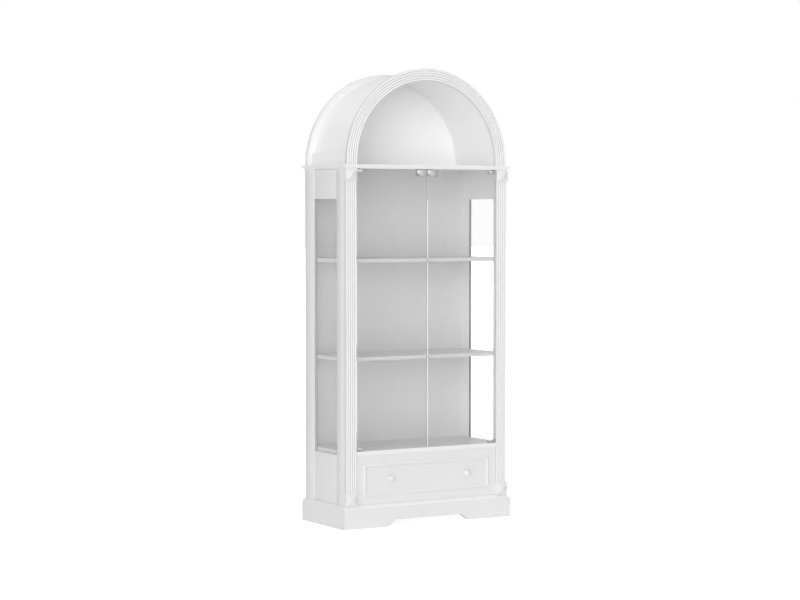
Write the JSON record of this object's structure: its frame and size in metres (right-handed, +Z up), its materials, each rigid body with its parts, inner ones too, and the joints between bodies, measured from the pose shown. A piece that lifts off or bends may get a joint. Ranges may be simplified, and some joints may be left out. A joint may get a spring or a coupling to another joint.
{
  "type": "display cabinet",
  "caption": "Tall arched display cabinet with an open vaulted niche, glazed sides, frameless glass doors on pivot clips and a drawer with turned knobs over a shaped plinth.",
  "frame": {"origin": "on the floor, in the middle of the cabinet's bounding box, which reaches forward to the knobs", "axes": "+X to the right seen from the front, -Y out of the front, +Z up"},
  "size_m": [0.908, 0.408, 2.0869],
  "materials": {
    "painted_wood": "white satin paint",
    "case_board": "white satin board with a faint pressed grain",
    "back_board": "white satin board with a pressed cathedral grain",
    "bare_wood": "unpainted softwood",
    "knob_paint": "white gloss paint",
    "clear_glass": "clear float glass with ground edges",
    "chrome_metal": "polished",
    "plated_steel": "zinc plated",
    "grey_seal": "matt",
    "white_plastic": "moulded"
  },
  "bodies": {
    "cabinet": {"plinth_front": "painted_wood", "plinth_side_left": "painted_wood", "plinth_side_right": "painted_wood", "plinth_back": "painted_wood", "plinth_corner_blocks": "bare_wood", "base_board": "case_board", "front_stile_left": "painted_wood", "front_stile_right": "painted_wood", "rear_stile_left": "painted_wood", "rear_stile_right": "painted_wood", "frieze_panel_left": "painted_wood", "frieze_panel_right": "painted_wood", "lower_panel_left": "painted_wood", "lower_panel_right": "painted_wood", "side_glass_left": "clear_glass", "side_glass_right": "clear_glass", "glazing_stops": "grey_seal", "deck_board": "case_board", "top_board": "case_board", "back_panel": "back_board", "shelf_lower": "case_board", "shelf_upper": "case_board", "shelf_pins": "plated_steel", "pilaster_left": "painted_wood", "pilaster_right": "painted_wood", "lower_blocks": "painted_wood", "upper_blocks": "painted_wood", "cornice_front": "painted_wood", "cornice_left": "painted_wood", "cornice_right": "painted_wood", "vault_shell": "painted_wood", "vault_back": "back_board", "front_arch": "painted_wood", "rear_arch": "painted_wood", "impost_left": "painted_wood", "impost_right": "painted_wood", "drawer_upright_left": "case_board", "drawer_upright_right": "case_board", "runner_rails": "plated_steel", "magnet_catches": "white_plastic", "magnets": "plated_steel"},
    "drawer": {"drawer_front": "painted_wood", "drawer_moulding": "painted_wood", "drawer_side_left": "case_board", "drawer_side_right": "case_board", "drawer_back": "case_board", "drawer_bottom": "case_board", "drawer_knob_left": "knob_paint", "drawer_knob_right": "knob_paint", "knob_screws": "plated_steel", "runner_drawer_members": "plated_steel"},
    "runner_middle": {"runner_middles": "plated_steel"},
    "door_left": {"door_glass_left": "clear_glass", "door_clips_left": "chrome_metal", "door_pins_left": "plated_steel", "door_plate_left": "chrome_metal"},
    "door_right": {"door_glass_right": "clear_glass", "door_clips_right": "chrome_metal", "door_pins_right": "plated_steel", "door_plate_right": "chrome_metal"}
  },
  "joints": [
    {"name": "door_left_hinge", "type": "hinge", "parent": "cabinet", "child": "door_left", "pos_m": [-0.362, -0.172, 0.98825], "axis": [0, 0, -1], "range_deg": [0, 105]},
    {"name": "door_right_hinge", "type": "hinge", "parent": "cabinet", "child": "door_right", "pos_m": [0.362, -0.172, 0.98825], "axis": [0, 0, 1], "range_deg": [0, 105]},
    {"name": "drawer_slide", "type": "slide", "parent": "cabinet", "child": "drawer", "axis": [0, -1, 0], "range_m": [0, 0.26]},
    {"name": "runner_middle_slide", "type": "slide", "parent": "cabinet", "child": "runner_middle", "axis": [0, -1, 0], "range_m": [0, 0.13]}
  ],
  "couplings": [
    {"joint": "runner_middle_slide", "follows": "drawer_slide", "ratio": 0.5}
  ]
}
